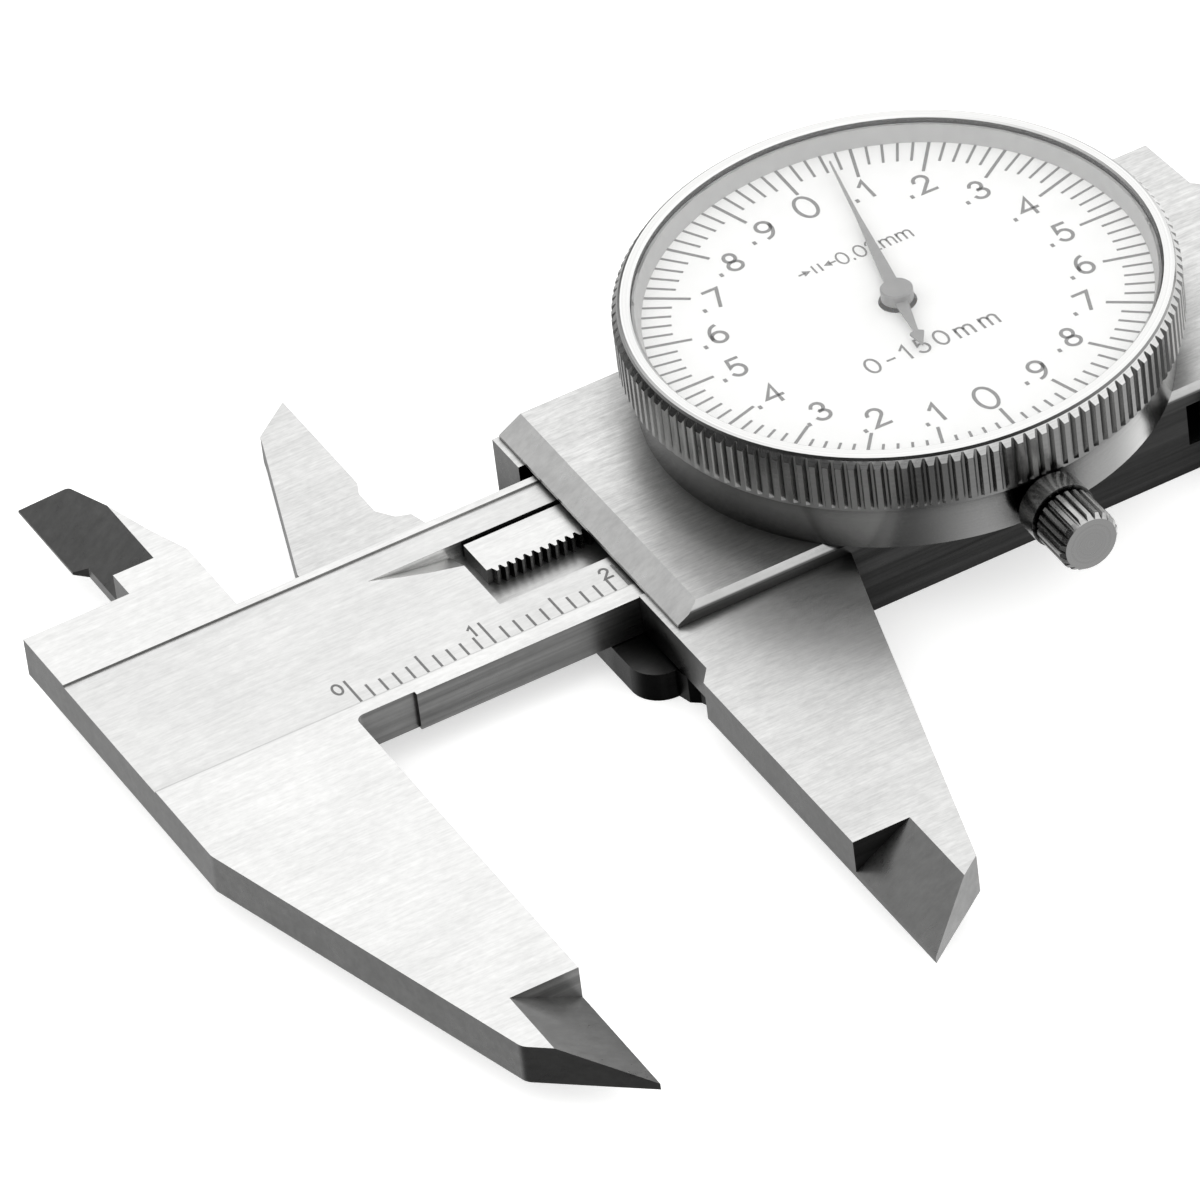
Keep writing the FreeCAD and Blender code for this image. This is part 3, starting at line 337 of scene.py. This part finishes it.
# one-line figures in a cell one unit high, each a list of strokes
GLYPHS = {
    "0": (0.62, [arc(0.31, 0.5, 0.29, 0.5, 90, 450, 36)]),
    "1": (0.36, [[(0.04, 0.76), (0.26, 1.0), (0.26, 0.0)]]),
    "2": (0.60, [arc(0.29, 0.72, 0.26, 0.28, 175, -38, 16) + [(0.03, 0.0), (0.58, 0.0)]]),
    "3": (0.58, [arc(0.27, 0.75, 0.22, 0.25, 160, -90, 16), arc(0.27, 0.27, 0.27, 0.27, 84, -160, 18)]),
    "4": (0.64, [[(0.47, 0.0), (0.47, 1.0), (0.02, 0.3), (0.62, 0.3)]]),
    "5": (0.58, [[(0.52, 1.0), (0.14, 1.0), (0.08, 0.56)] + arc(0.27, 0.32, 0.28, 0.32, 118, -150, 20)]),
    "6": (0.58, [arc(0.29, 0.3, 0.27, 0.3, 180, 540, 28),
                 [(0.02, 0.3)] + arc(0.44, 0.36, 0.42, 0.64, 170, 96, 12)]),
    "7": (0.56, [[(0.02, 1.0), (0.55, 1.0), (0.2, 0.0)]]),
    "8": (0.58, [arc(0.29, 0.75, 0.21, 0.25, 90, 450, 26), arc(0.29, 0.26, 0.27, 0.26, 90, 450, 28)]),
    "9": (0.58, [arc(0.29, 0.7, 0.27, 0.3, 0, 360, 28),
                 [(0.56, 0.7)] + arc(0.14, 0.64, 0.42, 0.64, -10, -84, 12)]),
    ".": (0.16, [[(0.08, 0.02), (0.08, 0.08)]]),
    "-": (0.44, [[(0.06, 0.42), (0.38, 0.42)]]),
    "m": (0.86, [[(0.05, 0.0), (0.05, 0.66)], arc(0.24, 0.46, 0.19, 0.2, 180, 0, 10) + [(0.43, 0.0)],
                 arc(0.62, 0.46, 0.19, 0.2, 180, 0, 10) + [(0.81, 0.0)]]),
    ">": (0.62, [[(0.0, 0.5), (0.34, 0.5)],
                 [(0.3, 0.5), (0.3, 0.66), (0.56, 0.5), (0.3, 0.34), (0.3, 0.5)]]),
    "<": (0.62, [[(0.62, 0.5), (0.28, 0.5)],
                 [(0.32, 0.5), (0.32, 0.66), (0.06, 0.5), (0.32, 0.34), (0.32, 0.5)]]),
    "|": (0.24, [[(0.12, 0.2), (0.12, 0.8)]]),
}


class Marks:
    """A mesh of flat ribbons that lie on a level face of a body."""

    def __init__(self, name, z, width):
        self.name, self.z, self.width = name, z, width
        self.mesh = bmesh.new()

    def ribbon(self, points, width=None):
        """Add one stroke along the points, with square ends half a width past them."""
        half = (width or self.width) / 2
        line = [Vector(p) for p in points]
        closed = (line[0] - line[-1]).length < 1e-7
        if closed:
            line = line[:-1]
        count = len(line)
        pairs = []
        for i, here in enumerate(line):
            before = line[i - 1] if closed or i else None
            after = line[(i + 1) % count] if closed or i < count - 1 else None
            into = (here - before).normalized() if before is not None else None
            out = (after - here).normalized() if after is not None else None
            along = ((into or out) + (out or into)).normalized()
            across = Vector((-along.y, along.x))
            spread = half / max(0.45, across.dot(Vector((-(into or out).y, (into or out).x))))
            end = Vector((0, 0))
            if before is None:
                end = -along * half
            elif after is None:
                end = along * half
            place = here + end
            edges = [place + across * side * spread for side in (1, -1)]
            pairs.append([self.mesh.verts.new((*point, self.z)) for point in edges])
        for i in range(count if closed else count - 1):
            left, right = pairs[i], pairs[(i + 1) % count]
            self.mesh.faces.new((left[0], left[1], right[1], right[0]))

    def text(self, words, centre, height, spacing=0.16, turn=0.0):
        """Write one line centred on a point."""
        widths = [GLYPHS[c][0] for c in words]
        total = sum(widths) + spacing * (len(words) - 1)
        pen = -total / 2
        cosine, sine = math.cos(turn), math.sin(turn)
        for letter, wide in zip(words, widths):
            for stroke in GLYPHS[letter][1]:
                placed = []
                for x, y in stroke:
                    across, up = (pen + x) * height, (y - 0.5) * height
                    placed.append((centre[0] + across * cosine - up * sine,
                                   centre[1] + across * sine + up * cosine))
                self.ribbon(placed)
            pen += wide + spacing

    def finish(self, body, material):
        data = bpy.data.meshes.new(self.name)
        bmesh.ops.recalc_face_normals(self.mesh, faces=self.mesh.faces)
        self.mesh.to_mesh(data)
        self.mesh.free()
        made = bpy.data.objects.new(self.name, data)
        bpy.context.scene.collection.objects.link(made)
        data.materials.append(material)
        thick = made.modifiers.new("thick", "SOLIDIFY")
        thick.thickness = 0.02 * MM
        thick.offset = 0
        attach(made, body)
        return made


def beam_scale(material):
    """The millimetre scale: a tick a millimetre, longer at 5 and at 10, numbered in centimetres."""
    marks = Marks("beam_scale", SCALE_Z + MARK_LIFT, 0.16 * MM)
    zero = 1.2 * MM
    foot = CENTRELINE_Y - 6.05 * MM
    figure_y = CENTRELINE_Y - 3.95 * MM
    figure_left, two_figures_left = 0.75 * MM, 0.45 * MM
    for tick in range(0, 151):
        x = zero + tick * MM
        if tick % 10 == 0:
            long = 2.55
        elif tick % 5 == 0:
            long = 2.0
        else:
            long = 1.4
        marks.ribbon([(x, foot), (x, foot + long * MM)])
    for number in range(0, 16):
        x = zero + number * 10 * MM - figure_left - two_figures_left * (number > 9)
        marks.text(str(number), (x, figure_y), 1.05 * MM)
    return marks.finish("beam_body", material)


def dial_print(material):
    """A hundred divisions, twenty numbered, and the value of one division."""
    marks = Marks("dial_print", DIAL_Z + MARK_LIFT, 0.15 * MM)
    turn = math.radians(DIAL_TURN)
    figure_radius = 12.35 * MM
    ring_outer, short_inner, long_inner = 16.9, 15.1, 13.96

    def on_dial(across, up):
        """A place on the dial, with its zero turned."""
        return (DIAL_CENTRE.x + across * math.cos(turn) - up * math.sin(turn),
                DIAL_CENTRE.y + across * math.sin(turn) + up * math.cos(turn))

    for tick in range(100):
        angle = math.radians(90 - 3.6 * tick)
        inner = long_inner if tick % 5 == 0 else short_inner
        ends = [on_dial(r * MM * math.cos(angle), r * MM * math.sin(angle)) for r in (inner, ring_outer)]
        marks.ribbon(ends, 0.23 * MM if tick % 5 == 0 else 0.19 * MM)
    for number in range(20):
        angle = math.radians(90 - 18 * number)
        across, up = figure_radius * math.cos(angle) - 0.2 * MM, figure_radius * math.sin(angle)
        figure = number % 10
        marks.width = 0.25 * MM
        if figure == 0:
            marks.text("0", on_dial(across, up), 2.35 * MM, turn=turn)
        else:
            marks.text("." + str(figure), on_dial(across - 0.03 * MM, up), 1.84 * MM, 0.32, turn)
    marks.width = 0.13 * MM
    marks.text(">||<0.02mm", on_dial(0.1 * MM, 6.1 * MM), 1.25 * MM, 0.14, turn)
    marks.width = 0.17 * MM
    marks.text("0-150mm", on_dial(-0.3 * MM, -5.1 * MM), 1.5 * MM, 0.36, turn)
    return marks.finish("bezel_body", material)


# ---------------------------------------------------------------------------
# Finishing the CAD nodes
# ---------------------------------------------------------------------------
def paint_node(node, material):
    data = NODES[node].data
    data.materials.clear()
    data.materials.append(material)


def soften(node, width, angle=30, segments=2):
    """Break a node's sharp edges, so that they catch the light."""
    made = NODES[node].modifiers.new("edges", "BEVEL")
    made.width = width
    made.segments = segments
    made.limit_method = "ANGLE"
    made.angle_limit = math.radians(angle)


def finish_nodes():
    steel = ground_steel("satin_steel", channel=True)
    # the slider: painted shade on its -Y sides, in its corners and round its floor corner
    frame_steel = ground_steel("slider_steel", face=0.75, side=0.30, front=0.09, grain=0.14, mottle=0.07,
                               side_dark=0.1, face_dark=0.1, face_shut=0.45, painted_shade_at=FLOOR_CORNER)
    # the cover plate: painted shade on its -Y facing chamfer, near black below a set height as if a wall in
    # shadow
    plate = ground_steel("satin_plate", face=0.75, side=0.80, front=0.55, front_from=-0.70,
                         foot=CHAMFER_FOOT + 0.2 * MM, grain=0.22, mottle=0.09, face_dark=0.2, side_dark=0.3)
    # the case: strong painted shade, near black where it stands close to the plate under the dial
    case = turned_steel("case_steel", DIAL_CENTRE, level=0.80, rough=0.2, reach=7 * MM, dark=0.02,
                        shut_at=0.58, open_at=0.95)
    # the bezel: painted shade in the knurl's flutes
    bezel = turned_steel("bezel_chrome", DIAL_CENTRE, level=0.50, rough=0.2, top=0.86,
                         reach=0.6 * MM, dark=0.15)
    small = turned_steel("small_steel", middle("thumb_roller"), level=0.30, rough=0.26)
    knob = turned_steel("knob_steel", middle("bezel_clamp_screw"), level=0.55, rough=0.22, axis="Y",
                        reach=1 * MM, dark=0.1)
    by_slot = {
        "satin_steel": steel, "fastener_steel": small, "case_chrome": case, "bezel_chrome": bezel,
        "brass": brass("brass", (0.80, 0.62, 0.33)), "bronze": brass("bronze", (0.62, 0.43, 0.26)),
        "dial_enamel": enamel(), "pointer_paint": paint("pointer_paint", 0.22),
        "spacer_plastic": paint("spacer_plastic", 0.42), "crystal": clear_glass(),
    }
    for part in frame["record"]["subparts"]:
        paint_node(part["node"], by_slot[part["material_slot"]])
    paint_node("slider", frame_steel)
    paint_node("cover_plate", plate)
    # the rack: sides darkened as painted shade
    paint_node("rack", ground_steel("rack_steel", side=0.16))
    paint_node("bezel_clamp_screw", knob)
    paint_node("lock_screw", knob)
    for node, width in (("beam", 0.06), ("slider", 0.06), ("cover_plate", 0.05), ("rack", 0.02),
                        ("end_stop", 0.08), ("depth_rod", 0.05)):
        soften(node, width * MM)


# ---------------------------------------------------------------------------
# Stage, light and camera
# ---------------------------------------------------------------------------
def make_floor():
    half = 2.5
    z = cad_box[0].z - 0.02 * MM
    data = bpy.data.meshes.new("floor")
    corners = [(-half, -half, z), (half, -half, z), (half, half, z), (-half, half, z)]
    data.from_pydata(corners, [], [(0, 1, 2, 3)])
    floor = bpy.data.objects.new("floor", data)
    bpy.context.scene.collection.objects.link(floor)
    made = Finish("floor_paper", Roughness=0.9)
    cloud = made.noise(made.place(), scale=60, detail=4)
    made.feed(made.shader.inputs["Base Color"], made.colour(made.remap(cloud, 0.3, 0.7, 0.83, 0.85)))
    made.feed(made.shader.inputs["Emission Color"], grey(1.0))
    made.feed(made.shader.inputs["Emission Strength"], 0.5)
    data.materials.append(made.material)
    floor.visible_glossy = False


def make_world():
    """A light tent: even and white for soft light, graded from sky to table for reflections.

    The two differ, so metal shows darker and more varied reflections than the even light gives.
    """
    world = bpy.data.worlds.new("tent")
    bpy.context.scene.world = world
    world.use_nodes = True
    tree = world.node_tree
    tree.nodes.clear()

    def node(kind, inputs=None, **settings):
        made = tree.nodes.new("ShaderNode" + kind)
        for name, value in settings.items():
            setattr(made, name, value)
        for socket, value in (inputs or {}).items():
            if isinstance(value, bpy.types.NodeSocket):
                tree.links.new(value, made.inputs[socket])
            else:
                made.inputs[socket].default_value = value
        return made

    def towards(direction, start, full, low, high):
        """A level that rises from low to high as a ray turns to a direction."""
        dot = node("VectorMath", {0: ray, 1: Vector(direction).normalized()}, operation="DOT_PRODUCT")
        inputs = {"Value": dot.outputs["Value"], "From Min": start, "From Max": full,
                  "To Min": low, "To Max": high}
        return node("MapRange", inputs, interpolation_type="SMOOTHSTEP").outputs["Result"]

    ray = node("TexCoord").outputs["Generated"]
    sky = towards((0.45, 0.1, 0.9), 0.15, 0.72, 0.0, 1.12)
    table = node("Math", {0: towards((-0.75, -0.42, -0.52), 0.55, 0.93, 0.5, 0.07),
                          1: towards((0.0, 0.0, -1.0), -0.15, 0.35, 0.0, 1.0)}, operation="MULTIPLY")
    card = towards((0.75, 0.45, -0.65), 0.72, 0.98, 0.0, 0.6)
    lower = node("Math", {0: table.outputs[0], 1: card}, operation="ADD")
    total = node("Math", {0: sky, 1: lower.outputs[0]}, operation="ADD").outputs[0]
    is_glossy = node("LightPath").outputs["Is Glossy Ray"]
    chosen = node("Mix", {0: is_glossy, 2: 1.3, 3: total}, data_type="FLOAT").outputs[0]
    background = node("Background", {"Color": grey(1.0), "Strength": chosen})
    node("OutputWorld", {0: background.outputs[0]})


def make_camera():
    """The photograph's viewing angle: a long lens, turned a little about its own axis."""
    azimuth, elevation, roll = (math.radians(a) for a in (-24.233, 39.288, -7.616))
    distance = 833.5 * MM
    target = Vector((18.79 * MM, CENTRELINE_Y - 6.30 * MM, FRONT_Z))
    back = Vector((math.sin(azimuth) * math.cos(elevation), -math.cos(azimuth) * math.cos(elevation),
                   math.sin(elevation)))
    level = (-back).cross(Vector((0, 0, 1))).normalized()
    upright = level.cross(-back)
    right = math.cos(roll) * level + math.sin(roll) * upright
    up = math.cos(roll) * upright - math.sin(roll) * level
    data = bpy.data.cameras.new("camera")
    data.sensor_width = 36.0
    data.lens = 383.0
    data.clip_start = 0.01
    data.clip_end = 50.0
    camera = bpy.data.objects.new("camera", data)
    turn = Matrix((right, up, back)).transposed().to_4x4()
    camera.matrix_world = Matrix.Translation(target + back * distance) @ turn
    bpy.context.scene.collection.objects.link(camera)
    bpy.context.scene.camera = camera


make_camera()
make_floor()
make_world()
finish_nodes()
beam_scale(ink("scale_ink", 0.15))
dial_print(ink("dial_ink", 0.17))
bpy.context.scene.view_settings.view_transform = "Standard"
